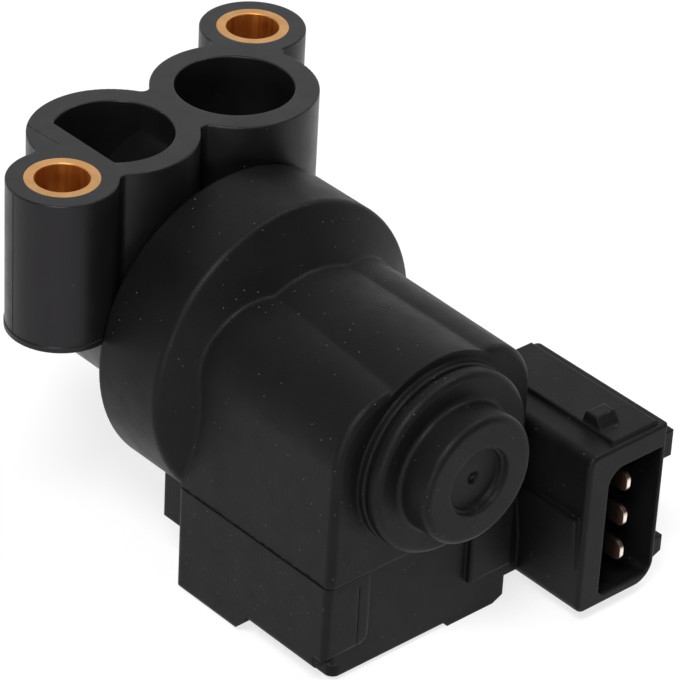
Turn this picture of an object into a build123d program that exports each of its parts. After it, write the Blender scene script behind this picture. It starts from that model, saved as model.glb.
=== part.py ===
"""Idle air control valve: a rotary slide turned by a two-winding torque motor.

Millimetres, +Z up. The origin lies midway between the two air ports, on the flange face that
the ports open from. The motor axis runs along Y below the ports, and its end boss and the
connector mouth face -Y.
"""

from build123d import *
import os
from math import acos, atan2, cos, hypot, sin

# Air flange: two ports and two screw bosses that end on one face
port_spacing = 18.8
port_bore = 14.7
port_wall = 3.05
port_depth = 17.0
d_flat_offset = 4.5
ramp_start_depth = 2.3
ramp_toe_depth = 10.5
ramp_toe_offset = 2.9
boss_1_across = 11.6
boss_1_forward = 5.0
boss_2_across = 11.6
boss_2_back = 10.3
boss_diameter = 13.4
boss_height = 20.0
boss_lip_height = 0.7
boss_lip_width = 0.1
flange_edge_fillet = 0.2
outline_fillet = 1.0
bush_bore = 6.6
bush_outside = 9.1
bush_chamfer = 0.25

# Slide chamber behind the drum, along the motor axis
axis_depth = 23.8
casing_radius = 14.4
chamber_wall = 1.8
chamber_rear = 10.0
chamber_front = -9.6
cap_thickness = 2.4
cap_chamfer = 0.4
slide_clearance = 0.3
slide_wall = 2.0
slide_end_gap = 0.6
slide_web = 2.0
slide_hub_radius = 4.2
slide_lead_angle = 42.0
slide_sweep = 44.0

# Actuator housing: drum, motor body, stepped end boss
drum_rear = -11.2
drum_radius = 20.0
drum_length = 10.4
cone_length = 4.55
cone_radius = 13.0
drum_edge_fillet = 1.0
parting_depth = 37.0
body_front = -48.4
body_foot_half_width = 15.35
body_foot_flare = 0.2
shoulder_front_radius = 8.15
shoulder_front_across = 7.1
shoulder_front_rise = 3.0
shoulder_rear_radius = 9.85
shoulder_rear_across = 5.65
shoulder_rear_rise = 2.55
strip_front_radius = 13.1
strip_rear_radius = 13.5
notch_fillet = 1.0
body_edge_fillet = 1.0
junction_fillet = 0.6
step_radius = 11.9
step_height = 1.1
step_edge_fillet = 0.3
groove_width = 0.45
groove_depth = 0.6
disc_radius = 11.85
disc_height = 1.65
end_boss_radius = 8.35
end_boss_height = 4.5
end_edge_fillet = 0.9
end_root_fillet = 0.6
dish_radius = 4.45
dish_depth = 1.15
dish_draft = 0.1
dish_edge_fillet = 0.15
ledge_depth = 0.55
ledge_width = 0.45
end_wall = 0.9
dimple_radius = 0.8
dimple_depth = 0.35
pip_radius = 0.32
pip_setback = 0.1

# Coil block under the motor body
block_half_width = 15.0
block_front = -47.8
block_rear = -20.4
block_edge_fillet = 0.9
parting_gap = 0.5
parting_inset = 0.4
heel_rear = -15.6
heel_half_width = 13.0
heel_rise = 4.6
foot_depth = 52.6
foot_length = 10.9
foot_slope = 2.4
foot_bevel = 1.0
foot_corner = 0.9
foot_toe_fillet = 0.7
foot_height = 0.75
plinth_height = 1.75
plinth_inset = 2.2
plinth_corner = 1.2
rebate_length = 1.0
panel_left = -7.75
panel_right = 8.2
panel_recess = 1.0
pillar_rise = 2.0
pillar_corner = 1.7
pillar_edge_fillet = 0.9
pillar_overlap = 1.0
insert_line_offset = 2.25
insert_line_width = 0.14
insert_line_depth = 0.15
insert_line_top = 1.4
pad_rise = 3.3
pad_edge_fillet = 0.4
front_foot_left = 5.2
front_foot_right = 13.4
front_foot_length = 5.0
front_foot_bevel = 0.7

# Connector shell on the right of the block
connector_mouth = -56.6
connector_left_wall = 3.5
connector_right_wall = 0.7
connector_roof = 3.1
connector_floor = 1.4
connector_rear = -33.0
connector_edge_fillet = 1.4
connector_corner = 3.0
mouth_fillet = 0.5
socket_left = 21.5
socket_right = 30.3
socket_top_depth = 31.2
socket_bottom_depth = 49.5
socket_length = 10.6
socket_corner = 1.0
socket_key_corner = 2.4
socket_edge_fillet = 0.15
bridge_front = -39.0
bridge_rear = -33.6
bridge_top_depth = 32.0
gusset_width = 1.0
gusset_front = -55.6
gusset_top_depth = 37.0
gusset_toe_depth = 45.0
key_left = 22.25
key_right = 29.7
key_height = 0.6
key_setback = 0.2
key_rear = -34.0
key_edge_fillet = 0.2
latch_left = 22.7
latch_right = 25.8
latch_height = 1.4
latch_toe = -53.4
latch_top_front = -52.3
latch_top_rear = -50.6
latch_heel = -50.2
latch_edge_fillet = 0.25
guide_reach = 1.4
guide_front = -56.2
guide_length = 8.0
guide_1_top_depth = 29.7
guide_1_bottom_depth = 33.4
guide_2_top_depth = 45.2
guide_2_bottom_depth = 48.3
guide_2_taper = 0.8

# Terminal blades
terminal_x = 25.79
terminal_tip = -55.9
terminal_pitch = 5.08
terminal_mid_depth = 40.1
blade_width = 2.8
blade_thickness = 0.63
blade_tip_radius = 1.1
terminal_cross = -36.0
terminal_inner_end = 12.4

# Rotor and its two ball bearings
shaft_radius = 2.0
shaft_rear = 8.8
rotor_front = -44.4
rotor_rear = -24.6
hub_radius = 4.0
magnet_radius = 8.0
magnet_front = -43.5
magnet_rear = -25.5
bearing_outer = 6.5
bearing_width = 5.0
bearing_fit = 0.02
bearing_ring = 1.3
ball_radius = 1.05
ball_count = 7
ball_clearance = 0.08
cage_half_width = 1.45
cage_thickness = 0.7
shaft_chamfer = 0.3
magnet_chamfer = 0.3
rotor_end_gap = 0.6
shim_thickness = 0.5
shim_inner = 4.6
shaft_clearance = 0.6

# Spigot that centres the chamber in the drum
spigot_radius = 11.4
spigot_length = 5.8
spigot_clearance = 0.1
drum_clearance = 0.3
seal_section = 1.8
seal_clearance = 0.05
seal_groove_width = 2.4
seal_setback = 2.4

# Torque motor stator and its coil
air_gap = 0.5
pole_thickness = 2.7
pole_half_angle = 55.0
leg_width = 3.0
leg_foot = 3.0
yoke_length_y = 14.0
yoke_height = 5.0
yoke_rise = 7.1
bobbin_fit = 0.1
bobbin_wall = 0.9
bobbin_flange = 0.8
bobbin_half_length = 8.0
winding_build_y = 2.2
winding_build_z = 1.9
flange_reach = 0.3
winding_corner = 1.2

# Places that follow from the sizes above
axis_z = -axis_depth
motor_axis = Axis((0, 0, axis_z), (0, 1, 0))
shaft_section = Plane(origin=(0, 0, axis_z), x_dir=(0, 1, 0), z_dir=(1, 0, 0))
d_port = (-port_spacing / 2, 0)
round_port = (port_spacing / 2, 0)
boss_1 = (d_port[0] - boss_1_across, -boss_1_forward)
boss_2 = (round_port[0] + boss_2_across, boss_2_back)
port_radius = port_bore / 2
port_outside = port_radius + port_wall
boss_radius = boss_diameter / 2
flange_circles = [
    (d_port, port_outside),
    (round_port, port_outside),
    (boss_1, boss_radius),
    (boss_2, boss_radius),
]
chamber_radius = casing_radius - chamber_wall
slide_radius = chamber_radius - slide_clearance
drum_front = drum_rear - drum_length
cone_front = drum_front - cone_length
step_front = body_front - step_height
disc_rear = step_front - groove_width
disc_front = disc_rear - disc_height
boss_front = disc_front - end_boss_height
ledge = boss_front + ledge_depth
dish_floor = boss_front + dish_depth
plinth_depth = foot_depth - foot_height
block_depth = plinth_depth - plinth_height
pillar_bottom_depth = block_depth - pillar_rise
pad_bottom_depth = block_depth - pad_rise
heel_depth = block_depth - heel_rise
yoke_mid_depth = block_depth - yoke_rise
leg_depth = yoke_mid_depth + leg_foot
spigot_front = drum_rear - spigot_length
pocket_radius = bearing_outer + bearing_fit
rear_bearing_front = spigot_front
rear_bearing_mid = rear_bearing_front + bearing_width / 2
shim_front = dish_floor + end_wall
front_bearing_front = shim_front + shim_thickness
front_bearing_mid = front_bearing_front + bearing_width / 2
shaft_front = front_bearing_front
ball_pitch = (shaft_radius + bearing_outer) / 2
seal_pitch = spigot_radius - seal_section / 2 + seal_clearance
pole_bore = magnet_radius + air_gap
pole_outer = pole_bore + pole_thickness
stator_mid = (magnet_front + magnet_rear) / 2
stator_length = magnet_rear - magnet_front
socket_floor = connector_mouth + socket_length
connector_left = socket_left - connector_left_wall
connector_right = socket_right + connector_right_wall
connector_top_depth = socket_top_depth - connector_roof
connector_bottom_depth = socket_bottom_depth + connector_floor
big = 4 * drum_radius

os.makedirs("parts", exist_ok=True)


def front_plane(y):
    """Sketch plane across the motor axis at y: X to the right, Z up, facing -Y."""
    return Plane(origin=(0, y, axis_z), x_dir=(1, 0, 0), z_dir=(0, -1, 0))


def turn(*points, mode=Mode.ADD):
    """Turn a closed profile of (y, radius) points about the motor axis."""
    with BuildSketch(shaft_section) as profile:
        with BuildLine():
            Polyline(*points, close=True)
        make_face()
    revolve(profile.sketch, axis=motor_axis, mode=mode)


def turn_ring(rear, front, inner, outer, mode=Mode.ADD):
    """Turn a plain ring between two places on the motor axis."""
    turn((rear, inner), (rear, outer), (front, outer), (front, inner), mode=mode)


def block(x, y, z, mode=Mode.ADD):
    """Add a block between pairs of X, Y and Z limits."""
    with Locations(((x[0] + x[1]) / 2, (y[0] + y[1]) / 2, (z[0] + z[1]) / 2)):
        Box(abs(x[1] - x[0]), abs(y[1] - y[0]), abs(z[1] - z[0]), mode=mode)


def inner_corners(vertices):
    """Pick the vertices of the flange outline where two of its circles meet."""
    corners = []
    for vertex in vertices:
        reach = [
            abs(hypot(vertex.X - centre[0], vertex.Y - centre[1]) - radius)
            for centre, radius in flange_circles
        ]
        if sum(distance < 0.01 for distance in reach) == 2:
            corners.append(vertex)
    return corners


def rim(builder, y, radius):
    """Pick the round edges of a turned piece at one place and radius."""
    circles = builder.edges().filter_by(GeomType.CIRCLE)
    return [e for e in circles if abs(e.radius - radius) < 0.01 and abs(e.arc_center.Y - y) < 0.01]


def on_bush(edge):
    """Tell whether an edge runs round the seat of a bush."""
    return edge.geom_type == GeomType.CIRCLE and abs(edge.radius - bush_outside / 2) < 0.01


def finish(builder, label):
    """Name a finished piece and write it to its own file."""
    builder.part.label = label
    export_step(builder.part, f"parts/{label}.step")


# Core of the D-shaped port: a bore with one flat, over a ramp that leads to the slide's slot
with BuildPart() as d_port_core:
    with BuildSketch(Plane.XY):
        with Locations(d_port):
            Circle(port_radius)
        with Locations((d_port[0] - d_flat_offset, 0)):
            Rectangle(port_bore, port_bore, align=(Align.MIN, Align.CENTER), mode=Mode.INTERSECT)
    extrude(amount=-port_depth)
    with BuildSketch(Plane.XZ) as above_ramp:
        with BuildLine():
            Polyline(
                (d_port[0] - port_radius, 0),
                (d_port[0] + port_radius, 0),
                (d_port[0] + port_radius, -ramp_start_depth),
                (d_port[0] + ramp_toe_offset, -ramp_toe_depth),
                (d_port[0] + ramp_toe_offset, -port_depth),
                (d_port[0] - port_radius, -port_depth),
                close=True,
            )
        make_face()
    extrude(amount=port_radius, both=True, mode=Mode.INTERSECT)

# Valve body: flange, ports, screw bosses, slide chamber and spigot in one moulding
with BuildPart() as valve_body:
    with BuildSketch(Plane.XY) as flange_outline:
        for centre, radius in flange_circles:
            with Locations(centre):
                Circle(radius)
        Rectangle(port_spacing, 2 * port_wall)
        fillet(inner_corners(flange_outline.vertices()), outline_fillet)
    extrude(amount=-boss_height)
    with BuildSketch(Plane.XY.offset(-boss_height)):
        with Locations(boss_1, boss_2):
            Circle(boss_radius + boss_lip_width)
    extrude(amount=boss_lip_height)
    turn_ring(chamber_rear + cap_thickness, drum_rear, 0, casing_radius)
    turn_ring(drum_rear, drum_front, 0, drum_radius + drum_clearance, mode=Mode.SUBTRACT)
    turn_ring(drum_rear, spigot_front, 0, spigot_radius)
    turn_ring(chamber_rear + cap_thickness, chamber_front, 0, chamber_radius, mode=Mode.SUBTRACT)
    turn_ring(chamber_front, spigot_front, 0, shaft_radius + shaft_clearance, mode=Mode.SUBTRACT)
    turn_ring(
        rear_bearing_front + bearing_width, rear_bearing_front, 0, pocket_radius, mode=Mode.SUBTRACT
    )
    turn_ring(
        drum_rear - seal_setback,
        drum_rear - seal_setback - seal_groove_width,
        spigot_radius - seal_section,
        spigot_radius,
        mode=Mode.SUBTRACT,
    )
    add(d_port_core.part, mode=Mode.SUBTRACT)
    with BuildSketch(Plane.XY):
        with Locations(round_port):
            Circle(port_radius)
    extrude(amount=-port_depth, mode=Mode.SUBTRACT)
    with BuildSketch(Plane.XY):
        with Locations(boss_1, boss_2):
            Circle(bush_outside / 2)
    extrude(amount=-boss_height, mode=Mode.SUBTRACT)
    flange_edges = valve_body.edges().group_by(Axis.Z)[-1]
    fillet([edge for edge in flange_edges if not on_bush(edge)], flange_edge_fillet)
finish(valve_body, "valve_body")

# Turned bushes that take the clamp load of the two flange screws
for number, place in enumerate((boss_1, boss_2), start=1):
    with BuildPart() as bush:
        with BuildSketch(Plane.XY):
            with Locations(place):
                Circle(bush_outside / 2)
                Circle(bush_bore / 2, mode=Mode.SUBTRACT)
        extrude(amount=-boss_height)
        chamfer(bush.edges().filter_by(GeomType.CIRCLE).sort_by(SortBy.RADIUS)[:2], bush_chamfer)
    finish(bush, f"mounting_bush_{number}")

# Cap that closes the rear of the slide chamber
with BuildPart() as chamber_cap:
    turn_ring(chamber_rear + cap_thickness, chamber_rear, 0, chamber_radius)
    chamfer(chamber_cap.edges().filter_by(GeomType.CIRCLE).sort_by(Axis.Y)[-1], cap_chamfer)
finish(chamber_cap, "chamber_cap")

# Rotary slide: a barrel segment on two webs and a hub
with BuildPart() as rotary_slide:
    slide_rear = chamber_rear - slide_end_gap
    slide_front = chamber_front + slide_end_gap
    sector_start = 90 + slide_lead_angle
    with BuildSketch(front_plane(slide_rear)) as sector:
        Circle(slide_radius)
        with BuildLine():
            first = PolarLine((0, 0), 2 * slide_radius, sector_start)
            last = PolarLine((0, 0), 2 * slide_radius, sector_start + slide_sweep)
            Line(first @ 1, last @ 1)
        make_face(mode=Mode.INTERSECT)
    extrude(amount=slide_rear - slide_front)
    turn_ring(
        slide_rear - slide_web, slide_front + slide_web, 0, slide_radius - slide_wall, mode=Mode.SUBTRACT
    )
    turn_ring(slide_rear, slide_front, 0, slide_hub_radius)
    turn_ring(slide_rear, slide_front, 0, shaft_radius, mode=Mode.SUBTRACT)
finish(rotary_slide, "rotary_slide")

# Shaft with the rotor's hub and two-pole magnet
with BuildPart() as shaft:
    turn_ring(shaft_rear, shaft_front, 0, shaft_radius)
    chamfer(shaft.edges().filter_by(GeomType.CIRCLE), shaft_chamfer)
finish(shaft, "shaft")

with BuildPart() as rotor_hub:
    turn_ring(rotor_rear, rotor_front, shaft_radius, hub_radius)
finish(rotor_hub, "rotor_hub")

with BuildPart() as rotor_magnet:
    turn_ring(magnet_rear, magnet_front, hub_radius, magnet_radius)
    chamfer(rim(rotor_magnet, magnet_rear, magnet_radius), magnet_chamfer)
    chamfer(rim(rotor_magnet, magnet_front, magnet_radius), magnet_chamfer)
finish(rotor_magnet, "rotor_magnet")


def ball_track(mid):
    """Cut the round track of a bearing's balls."""
    with BuildSketch(shaft_section) as track:
        with Locations((mid, ball_pitch)):
            Circle(ball_radius + ball_clearance)
    revolve(track.sketch, axis=motor_axis, mode=Mode.SUBTRACT)


# Two deep-groove ball bearings: one behind the dished end, one in the spigot
for end, mid in (("front", front_bearing_mid), ("rear", rear_bearing_mid)):
    rear_face = mid + bearing_width / 2
    front_face = mid - bearing_width / 2
    with BuildPart() as outer_ring:
        turn_ring(rear_face, front_face, bearing_outer - bearing_ring, bearing_outer)
        ball_track(mid)
    finish(outer_ring, f"{end}_bearing_outer_ring")

    with BuildPart() as inner_ring:
        turn_ring(rear_face, front_face, shaft_radius, shaft_radius + bearing_ring)
        ball_track(mid)
    finish(inner_ring, f"{end}_bearing_inner_ring")

    with BuildPart() as balls:
        with Locations(front_plane(mid)):
            with PolarLocations(ball_pitch, ball_count):
                Sphere(ball_radius)
    finish(balls, f"{end}_bearing_balls")

    with BuildPart() as cage:
        turn_ring(
            mid + cage_half_width,
            mid - cage_half_width,
            ball_pitch - cage_thickness / 2,
            ball_pitch + cage_thickness / 2,
        )
        with Locations(front_plane(mid)):
            with PolarLocations(ball_pitch, ball_count):
                Cylinder(
                    ball_radius + ball_clearance,
                    2 * bearing_ring,
                    rotation=(0, 90, 0),
                    mode=Mode.SUBTRACT,
                )
    finish(cage, f"{end}_bearing_cage")

# Shim that sets the end float of the front bearing
with BuildPart() as shim_washer:
    turn_ring(front_bearing_front, shim_front, shim_inner, bearing_outer - bearing_fit)
finish(shim_washer, "shim_washer")

# Seal in the spigot's groove
with BuildPart() as seal_ring:
    with BuildSketch(shaft_section) as seal_profile:
        with Locations((drum_rear - seal_setback - seal_groove_width / 2, seal_pitch)):
            Circle(seal_section / 2)
    revolve(axis=motor_axis)
finish(seal_ring, "seal_ring")

# Laminated pole pieces on both sides of the magnet, each with a leg down to the yoke
pole_pieces = []
for name, side in (("left", -1), ("right", 1)):
    with BuildPart() as pole:
        with BuildSketch(front_plane(magnet_rear)):
            Circle(pole_outer)
            with BuildLine():
                mid_angle = 90 - 90 * side
                low = PolarLine((0, 0), 2 * pole_outer, mid_angle - pole_half_angle)
                high = PolarLine((0, 0), 2 * pole_outer, mid_angle + pole_half_angle)
                Line(low @ 1, high @ 1)
            make_face(mode=Mode.INTERSECT)
            with Locations((side * (pole_outer - leg_width / 2), 0)):
                Rectangle(leg_width, leg_depth - axis_depth, align=(Align.CENTER, Align.MAX))
            Circle(pole_bore, mode=Mode.SUBTRACT)
        extrude(amount=stator_length)
    finish(pole, f"{name}_pole_piece")
    pole_pieces.append(pole.part)

# Yoke bar through the coil, from one leg to the other
yoke_y = (stator_mid - yoke_length_y / 2, stator_mid + yoke_length_y / 2)
yoke_z = (-yoke_mid_depth - yoke_height / 2, -yoke_mid_depth + yoke_height / 2)
with BuildPart() as yoke:
    block((leg_width - pole_outer, pole_outer - leg_width), yoke_y, yoke_z)
finish(yoke, "yoke")


def around(limits, grow):
    """Widen a pair of limits on both sides."""
    return (limits[0] - grow, limits[1] + grow)


# Coil bobbin: a square tube with a flange at each end and one between the two windings
core_grow = bobbin_fit + bobbin_wall
flange_y = around(yoke_y, core_grow + winding_build_y + flange_reach)
flange_z = around(yoke_z, core_grow + winding_build_z + flange_reach)
with BuildPart() as coil_bobbin:
    block((-bobbin_half_length, bobbin_half_length), around(yoke_y, core_grow), around(yoke_z, core_grow))
    for centre in (-1, 0, 1):
        place = centre * (bobbin_half_length - bobbin_flange / 2)
        block((place - bobbin_flange / 2, place + bobbin_flange / 2), flange_y, flange_z)
    block(
        (-bobbin_half_length, bobbin_half_length),
        around(yoke_y, bobbin_fit),
        around(yoke_z, bobbin_fit),
        mode=Mode.SUBTRACT,
    )
finish(coil_bobbin, "coil_bobbin")

# One winding opens the slide and the other closes it
windings = []
for name, side in (("opening", -1), ("closing", 1)):
    span = (side * bobbin_flange / 2, side * (bobbin_half_length - bobbin_flange))
    with BuildPart() as winding:
        block(
            span,
            around(yoke_y, core_grow + winding_build_y),
            around(yoke_z, core_grow + winding_build_z),
        )
        fillet(winding.edges().filter_by(Axis.X), winding_corner)
        block(span, around(yoke_y, core_grow), around(yoke_z, core_grow), mode=Mode.SUBTRACT)
    finish(winding, f"{name}_winding")
    windings.append(winding.part)

# Three terminal blades, turned inwards to the coil behind the socket
terminals = []
for number, step in enumerate((1, 0, -1), start=1):
    blade_z = -terminal_mid_depth + step * terminal_pitch
    z_limits = (blade_z - blade_width / 2, blade_z + blade_width / 2)
    x_limits = (terminal_x - blade_thickness / 2, terminal_x + blade_thickness / 2)
    with BuildPart() as terminal:
        block(x_limits, (terminal_tip, terminal_cross + blade_thickness), z_limits)
        tip_corners = terminal.edges().filter_by(Axis.X).group_by(Axis.Y)[0]
        fillet(tip_corners, blade_tip_radius)
        block(
            (terminal_inner_end, x_limits[1]),
            (terminal_cross, terminal_cross + blade_thickness),
            z_limits,
        )
    finish(terminal, f"terminal_{number}")
    terminals.append(terminal.part)

# Stepped end boss with its dished face and centre pip
with BuildPart() as end_stack:
    turn(
        (body_front + body_edge_fillet, 0),
        (body_front + body_edge_fillet, strip_front_radius),
        (body_front, strip_front_radius),
        (body_front, step_radius),
        (step_front, step_radius),
        (step_front, step_radius - groove_depth),
        (disc_rear, step_radius - groove_depth),
        (disc_rear, disc_radius),
        (disc_front, disc_radius),
        (disc_front, end_boss_radius),
        (boss_front, end_boss_radius),
        (boss_front, dish_radius),
        (ledge, dish_radius - dish_draft),
        (ledge, dish_radius - ledge_width),
        (dish_floor, dish_radius - ledge_width - dish_draft),
        (dish_floor, dimple_radius),
        (dish_floor + dimple_depth, dimple_radius),
        (dish_floor + dimple_depth, pip_radius),
        (dish_floor + pip_setback, pip_radius),
        (dish_floor + pip_setback, 0),
    )
    fillet(rim(end_stack, step_front, step_radius), step_edge_fillet)
    fillet(rim(end_stack, disc_front, disc_radius), end_edge_fillet)
    fillet(rim(end_stack, boss_front, end_boss_radius), end_edge_fillet)
    fillet(rim(end_stack, disc_front, end_boss_radius), end_root_fillet)
    fillet(rim(end_stack, boss_front, dish_radius), dish_edge_fillet)
    fillet(rim(end_stack, ledge, dish_radius - ledge_width), dish_edge_fillet)

# Rear foot with a sloped front and rounded lower corners
with BuildPart() as rear_foot:
    with BuildSketch(Plane.YZ.offset(-block_half_width)) as foot_profile:
        with BuildLine():
            Polyline(
                (block_rear, -block_depth + block_edge_fillet),
                (block_rear, -foot_depth + foot_bevel),
                (block_rear - foot_bevel, -foot_depth),
                (block_rear - foot_length, -foot_depth),
                (block_rear - foot_length - foot_slope, -block_depth),
                (block_rear - foot_length - foot_slope, -block_depth + block_edge_fillet),
                close=True,
            )
        make_face()
        fillet(foot_profile.vertices().group_by(Axis.Z)[0].sort_by(Axis.Y)[0], foot_toe_fillet)
    extrude(amount=2 * block_half_width)
    with BuildSketch(front_plane(block_rear)) as foot_outline:
        with Locations((0, axis_depth - foot_depth)):
            Rectangle(
                2 * block_half_width,
                foot_depth - block_depth + block_edge_fillet,
                align=(Align.CENTER, Align.MIN),
            )
        fillet(foot_outline.vertices().group_by(Axis.Y)[0], foot_corner)
    extrude(amount=foot_length + foot_slope, mode=Mode.INTERSECT)
    with BuildSketch(Plane.XY.offset(-foot_depth)) as foot_plan:
        with Locations((0, block_rear)):
            Rectangle(2 * block_half_width, 2 * foot_length, align=(Align.CENTER, Align.MAX))
        fillet(foot_plan.vertices().group_by(Axis.Y)[-1], block_edge_fillet)
    extrude(amount=foot_depth - block_depth + block_edge_fillet, mode=Mode.INTERSECT)

# Pillar and pad on the front of the coil block, on each side of a recessed panel
panel_y = block_front + panel_recess
pillar_rear = panel_y + pillar_overlap
gap_top = -parting_depth - parting_gap
with BuildPart() as pillar:
    with BuildSketch(front_plane(pillar_rear)) as pillar_outline:
        with Locations((-block_half_width, axis_depth - pillar_bottom_depth)):
            Rectangle(
                panel_left + block_half_width,
                pillar_bottom_depth + gap_top,
                align=(Align.MIN, Align.MIN),
            )
        fillet(pillar_outline.vertices().group_by(Axis.Y)[0].sort_by(Axis.X)[-1], pillar_corner)
    extrude(amount=pillar_rear - block_front)
    fillet(pillar.edges().group_by(Axis.Y)[0].sort_by(Axis.Z)[:-1], pillar_edge_fillet)
    insert_line = panel_left - insert_line_offset
    block(
        (insert_line - insert_line_width / 2, insert_line + insert_line_width / 2),
        (block_front - insert_line_depth, block_front + insert_line_depth),
        (-pillar_bottom_depth, gap_top - insert_line_top),
        mode=Mode.SUBTRACT,
    )

with BuildPart() as pad:
    block((panel_right, block_half_width), (block_front, pillar_rear), (-pad_bottom_depth, gap_top))
    fillet(pad.edges().group_by(Axis.Y)[0].sort_by(Axis.Z)[:-1], pad_edge_fillet)

# Coil block: rebated corner, plinth, feet and heel
with BuildPart() as coil_block:
    sides = (-block_half_width, block_half_width)
    core_sides = (parting_inset - block_half_width, block_half_width - parting_inset)
    block(sides, (panel_y, block_rear), (-block_depth, gap_top))
    fillet(coil_block.edges().filter_by(Axis.Z).group_by(Axis.Y)[-1], block_edge_fillet)
    fillet(coil_block.edges().filter_by(Axis.Y).group_by(Axis.Z)[0], block_edge_fillet)
    block(
        (-block_half_width, -block_half_width + plinth_inset),
        (panel_y, panel_y + rebate_length),
        (-block_depth, -pillar_bottom_depth),
        mode=Mode.SUBTRACT,
    )
    add(pillar.part)
    add(pad.part)
    block(core_sides, (panel_y + parting_inset, block_rear - block_edge_fillet), (gap_top, -parting_depth))
    with BuildSketch(Plane.XY.offset(-plinth_depth)) as plinth_outline:
        with Locations((-block_half_width + plinth_inset, panel_y)):
            Rectangle(
                2 * block_half_width - plinth_inset,
                block_rear - foot_length - panel_y,
                align=(Align.MIN, Align.MIN),
            )
        fillet(plinth_outline.vertices().sort_by(Axis.Y)[:2].sort_by(Axis.X)[0], plinth_corner)
    extrude(amount=plinth_depth - block_depth + block_edge_fillet)
    with BuildSketch(front_plane(panel_y + front_foot_length)):
        with BuildLine():
            Polyline(
                (front_foot_left, axis_depth - plinth_depth),
                (front_foot_left + front_foot_bevel, axis_depth - foot_depth),
                (front_foot_right, axis_depth - foot_depth),
                (block_half_width, axis_depth - plinth_depth),
                close=True,
            )
        make_face()
    extrude(amount=front_foot_length)
    add(rear_foot.part)
    block(
        (-heel_half_width, heel_half_width),
        (block_rear, heel_rear),
        (-heel_depth, -parting_depth),
    )

# Key plate and latch wedge on top of the connector
key_top = key_height - connector_top_depth
with BuildPart() as key_plate:
    block(
        (key_left, key_right),
        (connector_mouth + key_setback + mouth_fillet, key_rear),
        (-connector_top_depth - key_height, key_top),
    )
    fillet(key_plate.edges().group_by(Axis.Z)[-1], key_edge_fillet)

with BuildPart() as latch:
    with BuildSketch(Plane.YZ.offset(latch_left)):
        with BuildLine():
            Polyline(
                (latch_toe, key_top - key_height / 2),
                (latch_toe, key_top),
                (latch_top_front, key_top + latch_height),
                (latch_top_rear, key_top + latch_height),
                (latch_heel, key_top),
                (latch_heel, key_top - key_height / 2),
                close=True,
            )
        make_face()
    extrude(amount=latch_right - latch_left)
    fillet(latch.edges().group_by(Axis.Z)[-1], latch_edge_fillet)

# Connector shell with its guide ribs and gusset
with BuildPart() as connector_shell:
    block(
        (connector_left, connector_right),
        (connector_mouth, connector_rear),
        (-connector_bottom_depth, -connector_top_depth),
    )
    long_edges = connector_shell.edges().filter_by(Axis.Y)
    low_right = long_edges.group_by(Axis.Z)[0].sort_by(Axis.X)[-1]
    fillet(low_right, connector_corner)
    fillet(connector_shell.edges().filter_by(Axis.Y).group_by(Axis.X)[0], connector_edge_fillet)
    fillet(connector_shell.edges().filter_by(Axis.Z).group_by(Axis.Y)[-1], connector_corner / 2)
    fillet(connector_shell.edges().group_by(Axis.Y)[0], mouth_fillet)
    with BuildSketch(front_plane(connector_rear - connector_corner)):
        with BuildLine():
            Polyline(
                (connector_left + mouth_fillet, axis_depth - gusset_top_depth),
                (connector_left - gusset_width, axis_depth - gusset_top_depth),
                (connector_left, axis_depth - gusset_toe_depth),
                (connector_left + mouth_fillet, axis_depth - gusset_toe_depth),
                close=True,
            )
        make_face()
    extrude(amount=connector_rear - connector_corner - gusset_front)
    add(key_plate.part)
    add(latch.part)
    guide_x = (connector_right - mouth_fillet, connector_right + guide_reach)
    guide_y = (guide_front, guide_front + guide_length)
    block(guide_x, guide_y, (-guide_1_bottom_depth, -guide_1_top_depth))
    with BuildSketch(front_plane(guide_y[1])):
        with BuildLine():
            Polyline(
                (guide_x[0], axis_depth - guide_2_top_depth),
                (guide_x[1], axis_depth - guide_2_top_depth),
                (guide_x[1], axis_depth - guide_2_bottom_depth + guide_2_taper),
                (guide_x[0], axis_depth - guide_2_bottom_depth),
                close=True,
            )
        make_face()
    extrude(amount=guide_length)
    socket_mid = (
        (socket_left + socket_right) / 2,
        axis_depth - (socket_top_depth + socket_bottom_depth) / 2,
    )
    with BuildSketch(front_plane(socket_floor)) as socket_outline:
        with Locations(socket_mid):
            Rectangle(socket_right - socket_left, socket_bottom_depth - socket_top_depth)
        key_corner = socket_outline.vertices().group_by(Axis.Y)[-1].sort_by(Axis.X)[0]
        fillet(key_corner, socket_key_corner)
        fillet(socket_outline.vertices().group_by(Axis.Y)[0], socket_corner)
    extrude(amount=socket_length, mode=Mode.SUBTRACT)
    mouth_face = connector_shell.faces().filter_by(Axis.Y).sort_by(Axis.Y)[0]
    fillet(mouth_face.inner_wires().edges(), socket_edge_fillet)


def tangent_point(start, centre, radius):
    """Find where a line from a point below touches the outer side of a circle."""
    across, up = start[0] - centre[0], start[1] - centre[1]
    swing = acos(radius / hypot(across, up)) * (1 if across > 0 else -1)
    angle = atan2(up, across) + swing
    return (centre[0] + radius * cos(angle), centre[1] + radius * sin(angle))


def body_section(y, centre, radius, strip_radius, half_width):
    """Draw the motor body's section: a round strip between two shoulders on upright sides."""
    foot = axis_depth - parting_depth - junction_fillet
    outline = []
    for side in (-1, 1):
        shoulder = (side * centre[0], centre[1])
        corner = (side * half_width, foot)
        outline.append([corner, tangent_point(corner, shoulder, radius), shoulder])
    with BuildSketch(front_plane(y)) as section:
        Polygon(*outline[0], *reversed(outline[1]), align=None)
        with Locations(*(points[2] for points in outline)):
            Circle(radius)
        Circle(strip_radius)
        fillet(section.vertices().group_by(Axis.Y)[-1], notch_fillet)
    return section.sketch


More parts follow.
